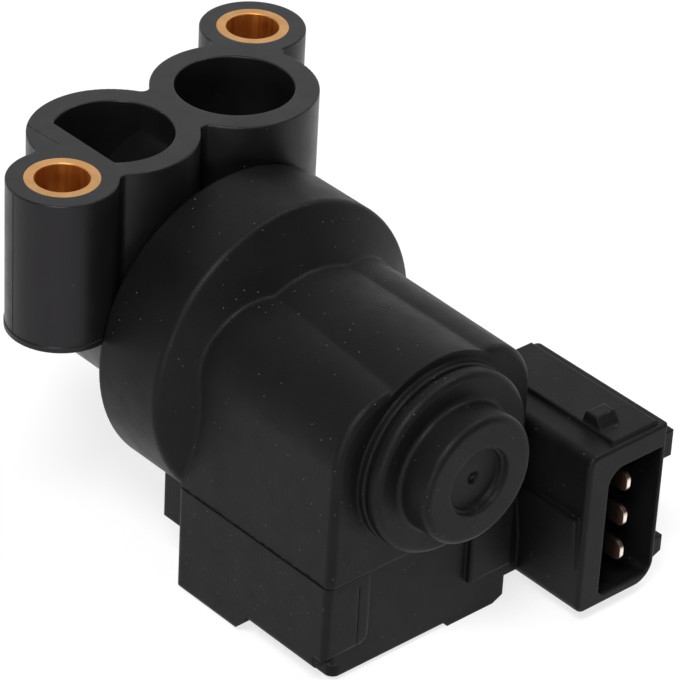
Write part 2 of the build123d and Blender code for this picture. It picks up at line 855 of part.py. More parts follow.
# Actuator housing: drum, motor body, coil block and connector in one moulding round the stator
with BuildPart() as actuator_housing:
    turn(
        (drum_rear, 0),
        (drum_rear, drum_radius),
        (drum_front, drum_radius),
        (cone_front, cone_radius),
        (cone_front, 0),
    )
    fillet(rim(actuator_housing, drum_front, drum_radius), drum_edge_fillet)
    front_section = body_section(
        body_front,
        (shoulder_front_across, shoulder_front_rise),
        shoulder_front_radius,
        strip_front_radius,
        body_foot_half_width,
    )
    rear_section = body_section(
        drum_front,
        (shoulder_rear_across, shoulder_rear_rise),
        shoulder_rear_radius,
        strip_rear_radius,
        body_foot_half_width + body_foot_flare,
    )
    loft([rear_section, front_section])
    fillet(
        actuator_housing.edges()
        .group_by(Axis.Y)[0]
        .filter_by(lambda edge: edge.center().Z > -parting_depth + body_edge_fillet),
        body_edge_fillet,
    )
    block((-big, big), (-big, big), (-big, -parting_depth), mode=Mode.SUBTRACT)
    fillet(
        actuator_housing.edges().filter_by(
            lambda edge: edge.geom_type != GeomType.LINE
            and edge.center().Z > -parting_depth + junction_fillet
            and cone_front - junction_fillet < edge.center().Y < drum_front - junction_fillet
        ),
        junction_fillet,
    )
    add(end_stack.part)
    add(coil_block.part)
    add(connector_shell.part)
    block(
        (block_half_width - block_edge_fillet, connector_left + connector_edge_fillet),
        (bridge_front, bridge_rear),
        (-block_depth, -bridge_top_depth),
    )
    block(
        (block_half_width - block_edge_fillet, connector_left + connector_edge_fillet),
        (panel_y + panel_recess, bridge_front),
        (-block_depth, -gusset_top_depth),
    )
    turn_ring(
        drum_rear,
        spigot_front - spigot_clearance,
        0,
        spigot_radius + spigot_clearance,
        mode=Mode.SUBTRACT,
    )
    turn_ring(spigot_front, rotor_front - rotor_end_gap, 0, pole_bore, mode=Mode.SUBTRACT)
    turn_ring(rotor_front, shim_front, 0, pocket_radius, mode=Mode.SUBTRACT)
    for insert in pole_pieces + [yoke.part, coil_bobbin.part] + windings + terminals:
        add(insert, mode=Mode.SUBTRACT)
finish(actuator_housing, "actuator_housing")
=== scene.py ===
"""Looks of the idle air control valve: skins, finishes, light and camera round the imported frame."""

from __future__ import annotations

import logging
import math
import random
from dataclasses import dataclass, replace
from enum import Enum
from functools import cache
from typing import Protocol

import bmesh
import bpy
from mathutils import Matrix, Vector

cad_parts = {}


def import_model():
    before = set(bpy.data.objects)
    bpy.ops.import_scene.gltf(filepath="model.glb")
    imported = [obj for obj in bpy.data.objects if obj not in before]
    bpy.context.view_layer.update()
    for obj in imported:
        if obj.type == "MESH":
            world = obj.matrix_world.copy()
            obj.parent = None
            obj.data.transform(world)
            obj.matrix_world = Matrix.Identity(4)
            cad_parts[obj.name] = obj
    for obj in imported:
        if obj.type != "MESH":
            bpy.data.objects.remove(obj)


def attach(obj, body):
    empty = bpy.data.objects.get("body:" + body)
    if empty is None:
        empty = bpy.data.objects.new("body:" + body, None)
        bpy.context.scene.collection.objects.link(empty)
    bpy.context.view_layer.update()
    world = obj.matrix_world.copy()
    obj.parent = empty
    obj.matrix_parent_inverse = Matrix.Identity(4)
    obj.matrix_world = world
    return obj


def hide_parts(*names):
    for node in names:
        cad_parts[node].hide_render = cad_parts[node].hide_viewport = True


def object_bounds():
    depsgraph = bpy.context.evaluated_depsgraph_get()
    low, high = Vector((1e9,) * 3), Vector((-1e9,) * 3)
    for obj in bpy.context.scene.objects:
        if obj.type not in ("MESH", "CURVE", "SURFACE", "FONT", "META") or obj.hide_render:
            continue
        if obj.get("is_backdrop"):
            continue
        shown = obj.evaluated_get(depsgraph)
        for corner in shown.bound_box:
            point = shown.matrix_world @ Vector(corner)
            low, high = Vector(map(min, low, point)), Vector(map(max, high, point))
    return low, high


MM = 0.001
LOG = logging.getLogger("valve")
Colour = tuple[float, float, float]
Point = tuple[float, float, float]
Spot = tuple[float, float]

FRONT_BOSS: Spot = (-21.0 * MM, -5.0 * MM)
REAR_BOSS: Spot = (21.0 * MM, 10.3 * MM)
BLADE_TIP = -55.9 * MM
# Distance from one band of a wave node to the next where its scale is 1
WAVE_PITCH = 0.314


class Body(Enum):
    """The rigid bodies of the frame that new pieces ride on."""

    HOUSING = "housing"


class Slot(Enum):
    """The material slots of the record."""

    SATIN_PLASTIC = "satin_black_plastic"
    GRAINED_PLASTIC = "grained_black_plastic"
    BUSH_BRONZE = "bush_bronze"
    SLIDE_ALUMINIUM = "slide_aluminium"
    GROUND_STEEL = "ground_steel"
    HUB_ALUMINIUM = "hub_aluminium"
    MAGNET = "magnet_sinter"
    BEARING_STEEL = "bearing_steel"
    CAGE_STEEL = "cage_steel"
    SEAL_RUBBER = "seal_rubber"
    LAMINATION = "lamination_steel"
    BOBBIN = "bobbin_plastic"
    COPPER = "copper_wire"
    TERMINAL = "terminal_bronze"


class Marks(Enum):
    """Ways that a metal is marked by how it was made."""

    HAZE = "haze"
    RINGS = "rings"
    LAYERS = "layers"


class Axis(Enum):
    """An axis of the frame, as shader nodes name it."""

    X = "X"
    Y = "Y"
    Z = "Z"


class Shader:
    """A material's node tree, with short ways to add and join nodes."""

    def __init__(self, name: str) -> None:
        """Start an empty tree with a Principled surface.

        Args:
            name: The material's name.
        """
        self.material = bpy.data.materials.new(name)
        self.material.use_nodes = True
        self.tree = self.material.node_tree
        self.tree.nodes.clear()
        self.surface = self.add("ShaderNodeBsdfPrincipled")
        output = self.add("ShaderNodeOutputMaterial")
        self.join(self.surface.outputs["BSDF"], output.inputs["Surface"])
        self.place = self.add("ShaderNodeTexCoord").outputs["Object"]

    def add(self, kind: str, values: dict[str, object] | None = None, **settings: object) -> bpy.types.Node:
        """Add a node.

        Args:
            kind: The node's type name.
            values: Input socket values by name.
            settings: Attributes of the node.

        Returns:
            The new node.
        """
        node = self.tree.nodes.new(kind)
        for key, value in settings.items():
            setattr(node, key, value)
        for key, value in (values or {}).items():
            node.inputs[key].default_value = value
        return node

    def join(self, source: bpy.types.NodeSocket, target: bpy.types.NodeSocket) -> None:
        """Link two sockets.

        Args:
            source: The output socket.
            target: The input socket.
        """
        self.tree.links.new(source, target)

    def set(self, **values: object) -> None:
        """Set constants on the surface.

        Args:
            values: Values by socket name, with an underscore for each space.
        """
        for key, value in values.items():
            self.surface.inputs[key.replace("_", " ")].default_value = value

    def noise(self, size: float, detail: float = 2.0, stretch: Point = (1, 1, 1)) -> bpy.types.NodeSocket:
        """Add an even noise on the object's coordinates.

        Args:
            size: The size of its features in metres.
            detail: The number of finer layers.
            stretch: How many times finer the noise is along each axis.

        Returns:
            The noise's value socket.
        """
        node = self.add("ShaderNodeTexNoise", {"Scale": 1 / size, "Detail": detail})
        scaled = self.add("ShaderNodeMapping", {"Scale": stretch})
        self.join(self.place, scaled.inputs["Vector"])
        self.join(scaled.outputs["Vector"], node.inputs["Vector"])
        return node.outputs["Fac"]

    def wave(self, pitch: float, centre: Point = (0, 0, 0), distortion: float = 0.6, detail: float = 2.0,
             **settings: object) -> bpy.types.NodeSocket:
        """Add even waves on the object's coordinates.

        Args:
            pitch: The distance from one wave to the next in metres.
            centre: The point that the waves are laid out from.
            distortion: How far the waves stray.
            detail: The number of finer layers in that.
            settings: The wave node's kind and direction.

        Returns:
            The waves' value socket.
        """
        values = {"Scale": WAVE_PITCH / pitch, "Distortion": distortion, "Detail": detail}
        node = self.add("ShaderNodeTexWave", values, **settings)
        centred = self.add("ShaderNodeVectorMath", operation="SUBTRACT")
        centred.inputs[1].default_value = centre
        self.join(self.place, centred.inputs[0])
        self.join(centred.outputs["Vector"], node.inputs["Vector"])
        return node.outputs["Fac"]

    def spread(self, source: bpy.types.NodeSocket, low: float, high: float,
               start: float = 0.3, end: float = 0.7) -> bpy.types.NodeSocket:
        """Map a value from one range to another, held inside it.

        Args:
            source: The value to map.
            low: Result at the start of the range.
            high: Result at the end of the range.
            start: Start of the source's range.
            end: End of the source's range.

        Returns:
            The mapped value's socket.
        """
        node = self.add(
            "ShaderNodeMapRange", {"From Min": start, "From Max": end, "To Min": low, "To Max": high}
        )
        self.join(source, node.inputs["Value"])
        return node.outputs["Result"]

    def product(self, first: bpy.types.NodeSocket, second: bpy.types.NodeSocket) -> bpy.types.NodeSocket:
        """Multiply two values.

        Args:
            first: One value.
            second: The other value.

        Returns:
            The product's socket.
        """
        node = self.add("ShaderNodeMath", operation="MULTIPLY")
        self.join(first, node.inputs[0])
        self.join(second, node.inputs[1])
        return node.outputs[0]

    def tint(self, source: bpy.types.NodeSocket, first: Colour | bpy.types.NodeSocket,
             second: Colour) -> bpy.types.NodeSocket:
        """Blend two colours by a value.

        Args:
            source: The blend's share of the second colour.
            first: Colour at 0, or the socket that gives it.
            second: Colour at 1.

        Returns:
            The blended colour's socket.
        """
        node = self.add("ShaderNodeMix", data_type="RGBA")
        if isinstance(first, tuple):
            node.inputs["A"].default_value = (*first, 1)
        else:
            self.join(first, node.inputs["A"])
        node.inputs["B"].default_value = (*second, 1)
        self.join(source, node.inputs["Factor"])
        return node.outputs["Result"]

    def bump(self, source: bpy.types.NodeSocket, depth: float, strength: float = 1.0,
             under: bpy.types.NodeSocket | None = None) -> bpy.types.NodeSocket:
        """Add a bump to the surface.

        Args:
            source: The height, from 0 to 1.
            depth: The height's size in metres.
            strength: The bump's share.
            under: Another bump that lies under this one.

        Returns:
            The bumped normal's socket.
        """
        node = self.add("ShaderNodeBump", {"Strength": strength, "Distance": depth})
        self.join(source, node.inputs["Height"])
        if under is not None:
            self.join(under, node.inputs["Normal"])
        self.join(node.outputs["Normal"], self.surface.inputs["Normal"])
        return node.outputs["Normal"]


class Finish(Protocol):
    """What every finish has: a name, the record's slot and a way to build its material."""

    name: str
    slot: Slot

    def material(self) -> bpy.types.Material:
        """Build the finish's material."""


@dataclass(frozen=True)
class MouldedPlastic:
    """Moulded plastic or rubber with an even grain and, if dusty, a few pale specks."""

    name: str
    slot: Slot
    colour: Colour
    worn_colour: Colour
    roughness: tuple[float, float]
    gloss: float
    grain_size: float
    grain_depth: float
    edge_round: float = 0.0
    edge_samples: int = 6
    speck_share: float = 0.0
    speck_spacing: float = 1.1 * MM
    speck_rim: tuple[float, float] = (0.035, 0.085)
    speck_fade: float = 0.01
    speck_colour: Colour = (0.12, 0.118, 0.115)
    gloss_tint: Colour = (1.0, 0.94, 1.0)
    cloud_size: float = 9 * MM
    smear_size: float = 3 * MM
    swell_size: float = 6 * MM
    swell_depth: float = 0.03 * MM
    swell_share: float = 0.15

    def material(self) -> bpy.types.Material:
        """Build the finish's material.

        Returns:
            The material.
        """
        shader = Shader(self.name)
        shader.set(Specular_IOR_Level=self.gloss, Specular_Tint=(*self.gloss_tint, 1))
        cloud = shader.noise(self.cloud_size, detail=4)
        colour = shader.tint(shader.spread(cloud, 0, 1), self.colour, self.worn_colour)
        if self.speck_share:
            colour = shader.tint(self.specks(shader), colour, self.speck_colour)
        shader.join(colour, shader.surface.inputs["Base Color"])
        smear = shader.noise(self.smear_size, detail=3)
        shader.join(shader.spread(smear, *self.roughness), shader.surface.inputs["Roughness"])
        worn = None
        if self.edge_round:
            rounded = shader.add("ShaderNodeBevel", {"Radius": self.edge_round}, samples=self.edge_samples)
            worn = rounded.outputs["Normal"]
        wave = shader.noise(self.swell_size, detail=1)
        swell = shader.bump(wave, self.swell_depth, self.swell_share, worn)
        shader.bump(shader.noise(self.grain_size), self.grain_depth, 1.0, swell)
        return shader.material

    def specks(self, shader: Shader) -> bpy.types.NodeSocket:
        """Scatter small specks of dust.

        Args:
            shader: The material's shader.

        Returns:
            A value that is 1 on a speck and 0 beside it.
        """
        cells = shader.add("ShaderNodeTexVoronoi", {"Scale": 1 / self.speck_spacing})
        shader.join(shader.place, cells.inputs["Vector"])
        dot = shader.spread(cells.outputs["Distance"], 1, 0, *self.speck_rim)
        share = self.speck_share
        chosen = shader.spread(cells.outputs["Color"], 1, 0, share, share + self.speck_fade)
        return shader.product(dot, chosen)


@dataclass(frozen=True)
class Metal:
    """Bare metal with the marks of how it was made."""

    name: str
    slot: Slot
    colour: Colour
    dull_colour: Colour
    roughness: tuple[float, float]
    marks: Marks = Marks.HAZE
    mark_size: float = 0.3 * MM
    mark_depth: float = 0.004 * MM
    mark_share: float = 0.7
    centre: Point = (0, 0, 0)
    axis: Axis = Axis.Z
    patch_size: float = 2.5 * MM
    smear_size: float = 1.5 * MM

    def material(self) -> bpy.types.Material:
        """Build the finish's material.

        Returns:
            The material.
        """
        shader = Shader(self.name)
        shader.set(Metallic=1.0)
        shader.join(self.blend(shader), shader.surface.inputs["Base Color"])
        smear = shader.noise(self.smear_size, detail=3)
        shader.join(shader.spread(smear, *self.roughness), shader.surface.inputs["Roughness"])
        shader.bump(self.pattern(shader), self.mark_depth, self.mark_share)
        return shader.material

    def blend(self, shader: Shader) -> bpy.types.NodeSocket:
        """Blend the bright and the dull colour in soft patches.

        Args:
            shader: The material's shader.

        Returns:
            The colour's socket.
        """
        patches = shader.spread(shader.noise(self.patch_size, detail=4), 0, 1)
        return shader.tint(patches, self.colour, self.dull_colour)

    def pattern(self, shader: Shader) -> bpy.types.NodeSocket:
        """Lay out the marks.

        Args:
            shader: The material's shader.

        Returns:
            The marks' height, from 0 to 1.
        """
        axis = self.axis.value
        if self.marks is Marks.RINGS:
            return shader.wave(self.mark_size, self.centre, wave_type="RINGS", rings_direction=axis)
        if self.marks is Marks.LAYERS:
            return shader.wave(self.mark_size, self.centre, wave_type="BANDS", bands_direction=axis)
        return shader.noise(self.mark_size, detail=3)


@dataclass(frozen=True)
class TurnedBush(Metal):
    """Turned bronze with rings on its ends and drawn streaks down its bore, which is darkened by painted
    shade.
    """

    # painted shade: the bore and its chamfer take this darker colour below the rim
    bore_shade_colour: Colour = (0.5, 0.168, 0.028)
    bore_shade_full: float = -0.1 * MM
    bore_shade_start: float = -0.02 * MM
    streak_size: float = 0.7 * MM
    streak_stretch: Point = (1, 1, 0.04)
    streak_edge: tuple[float, float] = (0.42, 0.66)
    streak_colour: Colour = (0.62, 0.25, 0.055)

    def blend(self, shader: Shader) -> bpy.types.NodeSocket:
        """Darken the bore and its chamfer with painted shade, and lighten streaks that run down it.

        Args:
            shader: The material's shader.

        Returns:
            The colour's socket.
        """
        drawn = shader.noise(self.streak_size, stretch=self.streak_stretch)
        streaks = shader.spread(drawn, 0, 1, *self.streak_edge)
        deep = shader.add("ShaderNodeSeparateXYZ")
        shader.join(shader.place, deep.inputs[0])
        # painted shade: 0 at the rim, 1 a little way down the chamfer and in the whole bore
        inside = shader.spread(deep.outputs["Z"], 1, 0, self.bore_shade_full, self.bore_shade_start)
        bore = shader.tint(inside, super().blend(shader), self.bore_shade_colour)
        return shader.tint(shader.product(streaks, inside), bore, self.streak_colour)


@dataclass(frozen=True)
class CoinedStrip(Metal):
    """Strip darkened to near black by tarnish and painted shade of the socket, worn brown towards its tip
    where it is out of that shade, and wiped bright where the tip is coined.
    """

    tip: float = BLADE_TIP
    wiped: float = 0.14 * MM
    wiped_colour: Colour = (0.95, 0.84, 0.76)
    # painted shade: the strip is brown this far back from its tip and darkens deeper in the socket
    worn_and_lit: float = 1.2 * MM
    worn_lit_colour: Colour = (0.075, 0.035, 0.022)
    tarnished_metal: float = 0.3

    def blend(self, shader: Shader) -> bpy.types.NodeSocket:
        """Lift the painted shade towards the strip's tip, where it turns worn brown, and let the bare metal
        through there.

        Args:
            shader: The material's shader.

        Returns:
            The colour's socket.
        """
        along = shader.add("ShaderNodeSeparateXYZ")
        shader.join(shader.place, along.inputs[0])
        near = shader.spread(along.outputs["Y"], 1, 0, self.tip, self.tip + self.wiped)
        shader.join(shader.spread(near, self.tarnished_metal, 1, 0, 1), shader.surface.inputs["Metallic"])
        # painted shade: 1 at the tip, 0 this far back, where the near-black base colour of the painted socket
        # shade is full
        worn = shader.spread(along.outputs["Y"], 1, 0, self.tip, self.tip + self.worn_and_lit)
        worn_and_lit = shader.tint(worn, super().blend(shader), self.worn_lit_colour)
        return shader.tint(near, worn_and_lit, self.wiped_colour)


SATIN_BLACK = MouldedPlastic(
    "satin_black", Slot.SATIN_PLASTIC, (0.0038, 0.0036, 0.0039), (0.006, 0.0057, 0.0062), (0.34, 0.43), 0.27,
    0.35 * MM, 0.006 * MM, edge_round=0.2 * MM, speck_share=0.2,
)
GRAINED_BLACK = MouldedPlastic(
    "grained_black", Slot.GRAINED_PLASTIC, (0.0036, 0.0034, 0.0037), (0.006, 0.0057, 0.0061), (0.42, 0.5),
    0.128, 0.24 * MM, 0.034 * MM, edge_round=0.5 * MM, speck_share=0.5,
)
# painted shade: a near-black finish for the shadowed line under the joint's overhang
JOINT_SHADE_BLACK = MouldedPlastic(
    "joint_shade_black", Slot.GRAINED_PLASTIC, (0.0012, 0.0012, 0.0013), (0.0022, 0.0021, 0.0022), (0.6, 0.7), 0.03,
    0.2 * MM, 0.01 * MM,
)
KNIT_BLACK = MouldedPlastic(
    "knit_black", Slot.SATIN_PLASTIC, (0.0014, 0.0014, 0.0015), (0.0024, 0.0023, 0.0024), (0.55, 0.65), 0.09,
    0.2 * MM, 0.01 * MM,
)
SEAL_RUBBER = MouldedPlastic(
    "seal_rubber", Slot.SEAL_RUBBER, (0.012, 0.012, 0.0125), (0.018, 0.018, 0.019), (0.5, 0.65), 0.3,
    0.3 * MM, 0.004 * MM,
)
NATURAL_NYLON = MouldedPlastic(
    "natural_nylon", Slot.BOBBIN, (0.52, 0.48, 0.39), (0.46, 0.42, 0.33), (0.38, 0.5), 0.5,
    0.4 * MM, 0.004 * MM,
)
BUSH_BRONZE = TurnedBush(
    "bush_bronze", Slot.BUSH_BRONZE, (0.6, 0.345, 0.15), (0.5, 0.275, 0.11), (0.5, 0.6),
    Marks.RINGS, 0.16 * MM, 0.004 * MM,
)
# near-black colours: tarnish and painted shade of the socket over the whole strip
TERMINAL_BRONZE = CoinedStrip(
    "terminal_bronze", Slot.TERMINAL, (0.014, 0.009, 0.007), (0.009, 0.006, 0.005), (0.36, 0.48),
    mark_size=0.15 * MM, mark_depth=0.002 * MM,
)
MACHINED_ALUMINIUM = Metal(
    "machined_aluminium", Slot.SLIDE_ALUMINIUM, (0.7, 0.7, 0.72), (0.58, 0.58, 0.6), (0.36, 0.48),
    Marks.LAYERS, 0.25 * MM, 0.004 * MM, axis=Axis.Y,
)
TURNED_ALUMINIUM = Metal(
    "turned_aluminium", Slot.HUB_ALUMINIUM, (0.6, 0.6, 0.62), (0.5, 0.5, 0.52), (0.26, 0.38),
    Marks.LAYERS, 0.2 * MM, 0.004 * MM, axis=Axis.Y,
)
GROUND_STEEL = Metal(
    "ground_steel", Slot.GROUND_STEEL, (0.56, 0.56, 0.58), (0.46, 0.46, 0.48), (0.16, 0.28),
    mark_size=0.08 * MM,
)
BEARING_STEEL = Metal(
    "bearing_steel", Slot.BEARING_STEEL, (0.66, 0.66, 0.68), (0.58, 0.58, 0.6), (0.1, 0.2),
    mark_size=0.1 * MM, mark_depth=0.001 * MM,
)
CAGE_STEEL = Metal(
    "cage_steel", Slot.CAGE_STEEL, (0.5, 0.49, 0.46), (0.4, 0.39, 0.36), (0.3, 0.42), mark_size=0.2 * MM
)
SINTERED_MAGNET = Metal(
    "sintered_magnet", Slot.MAGNET, (0.1, 0.1, 0.11), (0.06, 0.06, 0.066), (0.5, 0.65), mark_size=0.15 * MM,
    mark_depth=0.02 * MM,
)
LAMINATED_STEEL = Metal(
    "laminated_steel", Slot.LAMINATION, (0.32, 0.32, 0.34), (0.24, 0.235, 0.23), (0.34, 0.48),
    Marks.LAYERS, 0.5 * MM, 0.03 * MM, axis=Axis.Y,
)
ENAMELLED_COPPER = Metal(
    "enamelled_copper", Slot.COPPER, (0.6, 0.24, 0.09), (0.46, 0.16, 0.06), (0.22, 0.34),
    Marks.LAYERS, 0.28 * MM, 0.06 * MM, axis=Axis.X,
)


@cache
def material_of(finish: Finish) -> bpy.types.Material:
    """Build a finish's material once.

    Args:
        finish: The finish.

    Returns:
        Its material.
    """
    return finish.material()


@dataclass
class SubAssembly:
    """A group of pieces that is built and dressed together."""

    smooth_angle: float = 35.0
    weld: float = 0.002 * MM

    def build(self) -> None:
        """Build and dress the group's pieces."""
        raise NotImplementedError

    def dress(self, finish: Finish, *nodes: str) -> None:
        """Give nodes of the frame their finish.

        Args:
            finish: The finish.
            nodes: The nodes' names.
        """
        for name in nodes:
            mesh = bpy.data.objects[name].data
            mesh.materials.clear()
            mesh.materials.append(material_of(finish))
            LOG.info("dressed %s in %s", name, finish.name)

    def place(self, work: bmesh.types.BMesh, name: str, finish: Finish, body: Body, *nodes: str) -> None:
        """Turn a worked mesh into a piece that rides on a body.

        Args:
            work: The worked mesh, which is freed.
            name: The piece's name.
            finish: The piece's finish.
            body: The body that carries it.
            nodes: The nodes that it stands for, if any.
        """
        for face in work.faces:
            face.smooth = True
        for edge in work.edges:
            edge.smooth = edge.calc_face_angle(0.0) < math.radians(self.smooth_angle)
        shading = self.shading(work)
        mesh = bpy.data.meshes.new(name)
        work.to_mesh(mesh)
        work.free()
        mesh.normals_split_custom_set(shading)
        piece = bpy.data.objects.new(name, mesh)
        bpy.context.scene.collection.objects.link(piece)
        mesh.materials.append(material_of(finish))
        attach(piece, body.value)
        if nodes:
            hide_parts(*nodes)
        LOG.info("built %s with %d faces in %s", name, len(mesh.polygons), finish.name)

    @staticmethod
    def shading(work: bmesh.types.BMesh) -> list[Vector]:
        """Shade each smooth run of faces so that its largest faces stay flat.

        Args:
            work: The mesh, with its sharp edges marked.

        Returns:
            A normal for each corner, in the order of the faces.
        """
        work.normal_update()
        work.verts.index_update()
        work.faces.index_update()
        leans = [face.normal * face.calc_area() for face in work.faces]
        corners = {}
        for vert in work.verts:
            left = set(vert.link_faces)
            while left:
                run = [left.pop()]
                for face in run:
                    for edge in face.edges:
                        if edge.smooth and vert in edge.verts:
                            beside = left.intersection(edge.link_faces)
                            left -= beside
                            run.extend(beside)
                normal = sum((leans[face.index] for face in run), Vector()).normalized()
                corners.update(((vert.index, face.index), normal) for face in run)
        return [corners[corner.vert.index, face.index] for face in work.faces for corner in face.loops]

    def skin(self, node: str, finish: Finish, body: Body) -> None:
        """Stand a joined, smoothly shaded copy in for a node.

        Args:
            node: The node to copy.
            finish: The copy's finish.
            body: The body that carries it.
        """
        work = bmesh.new()
        work.from_mesh(bpy.data.objects[node].data)
        bmesh.ops.remove_doubles(work, verts=work.verts, dist=self.weld)
        self.place(work, node + "_skin", finish, body, node)

    @staticmethod
    def draw_out(work: bmesh.types.BMesh, profile: list[Vector], path: Vector) -> None:
        """Draw a flat profile out along a straight path.

        Args:
            work: The mesh to add it to.
            profile: The profile's corners.
            path: How far and which way it is drawn.
        """
        face = work.faces.new([work.verts.new(corner) for corner in profile])
        grown = bmesh.ops.extrude_face_region(work, geom=[face], use_keep_orig=True)
        moved = [item for item in grown["geom"] if isinstance(item, bmesh.types.BMVert)]
        bmesh.ops.translate(work, verts=moved, vec=path)

    @staticmethod
    def soften(work: bmesh.types.BMesh, width: float, segments: int = 2, sharp: float = 30.0) -> None:
        """Round a mesh's sharp edges.

        Args:
            work: The mesh.
            width: How far the rounding reaches from each edge, in metres.
            segments: The number of faces across it.
            sharp: The smallest angle of an edge that is rounded, in degrees.
        """
        edges = [edge for edge in work.edges if edge.calc_face_angle(0.0) > math.radians(sharp)]
        bmesh.ops.bevel(
            work, geom=edges, offset=width, offset_type="OFFSET", affect="EDGES", segments=segments,
            profile=0.5, material=-1,
        )


@dataclass
class ValveBody(SubAssembly):
    """The moulding with the ports, screw bosses and slide chamber, its cap, and its mould's lines."""

    boss: Spot = FRONT_BOSS
    boss_radius: float = 6.7 * MM
    seam_angle: float = math.radians(174)
    seam_top: float = -0.3 * MM
    seam_foot: float = -19.3 * MM
    seam_height: float = 0.05 * MM
    knit_ends: tuple[Point, Point] = ((-16.76 * MM, 7.1 * MM, 0.0), (-16.5 * MM, 1.4 * MM, 0.0))
    knit_height: float = 0.012 * MM
    knit_dashes: tuple[tuple[float, float], ...] = ((0.0, 0.14), (0.2, 0.42), (0.5, 0.66), (0.71, 1.0))
    line_half_width: float = 0.07 * MM
    line_root: float = 0.1 * MM
    line_shoulder: float = 0.6

    def build(self) -> None:
        """Build and dress the moulding, its cap and the mould's lines."""
        self.skin("valve_body", SATIN_BLACK, Body.HOUSING)
        self.dress(SATIN_BLACK, "chamber_cap")
        out = Vector((math.cos(self.seam_angle), math.sin(self.seam_angle), 0))
        side = Vector((*self.boss, 0)) + out * self.boss_radius
        foot, top = (side + Vector((0, 0, height)) for height in (self.seam_foot, self.seam_top))
        self.line("boss_seam", SATIN_BLACK, [(foot, top)], out, self.seam_height)
        near, far = (Vector(end) for end in self.knit_ends)
        dashes = [(near.lerp(far, start), near.lerp(far, end)) for start, end in self.knit_dashes]
        self.line("knit_line", KNIT_BLACK, dashes, Vector((0, 0, 1)), self.knit_height)

    def line(self, name: str, finish: Finish, dashes: list[tuple[Vector, Vector]], out: Vector,
             height: float) -> None:
        """Raise a thin line on a surface, whole or in dashes.

        Args:
            name: The line's name.
            finish: Its finish.
            dashes: Where each dash starts and ends on the surface.
            out: The surface's outward direction.
            height: How far the line stands out.
        """
        root, near = self.line_root, self.line_shoulder
        profile = ((-root, -1), (near * height, -near), (height, 0), (near * height, near), (-root, 1))
        work = bmesh.new()
        for start, end in dashes:
            across = out.cross(end - start).normalized() * self.line_half_width
            corners = [start + out * rise + across * share for rise, share in profile]
            self.draw_out(work, corners, end - start)
        bmesh.ops.recalc_face_normals(work, faces=work.faces)
        self.place(work, name, finish, Body.HOUSING)


@dataclass
class ScrewBushes(SubAssembly):
    """The two turned bushes in the screw bosses."""

    places: tuple[Spot, ...] = (FRONT_BOSS, REAR_BOSS)
    bore_radius: float = 3.3 * MM
    outer_radius: float = 4.55 * MM
    length: float = 20.0 * MM
    chamfer: float = 0.12 * MM
    edge: float = 0.05 * MM
    edge_steps: int = 3
    steps: int = 96

    def build(self) -> None:
        """Turn both bushes."""
        for number, place in enumerate(self.places, start=1):
            self.bush(number, place)

    def bush(self, number: int, place: Spot) -> None:
        """Turn one bush.

        Args:
            number: The bush's number.
            place: Its axis.
        """
        mouth = self.bore_radius + self.chamfer
        profile = (
            (self.bore_radius, -self.chamfer),
            (mouth, 0.0),
            (self.outer_radius, 0.0),
            (self.outer_radius, -self.length),
            (mouth, -self.length),
            (self.bore_radius, self.chamfer - self.length),
        )
        work = bmesh.new()
        verts = [work.verts.new((place[0] + radius, place[1], height)) for radius, height in profile]
        edges = [work.edges.new((verts[i - 1], verts[i])) for i in range(len(verts))]
        bmesh.ops.spin(
            work, geom=verts + edges, cent=(*place, 0), axis=(0, 0, 1), angle=math.tau, steps=self.steps,
            use_merge=True,
        )
        bmesh.ops.recalc_face_normals(work, faces=work.faces)
        self.soften(work, self.edge, self.edge_steps)
        finish = replace(BUSH_BRONZE, name=f"{BUSH_BRONZE.name}_{number}", centre=(*place, 0))
        self.place(work, f"turned_bush_{number}", finish, Body.HOUSING, f"mounting_bush_{number}")


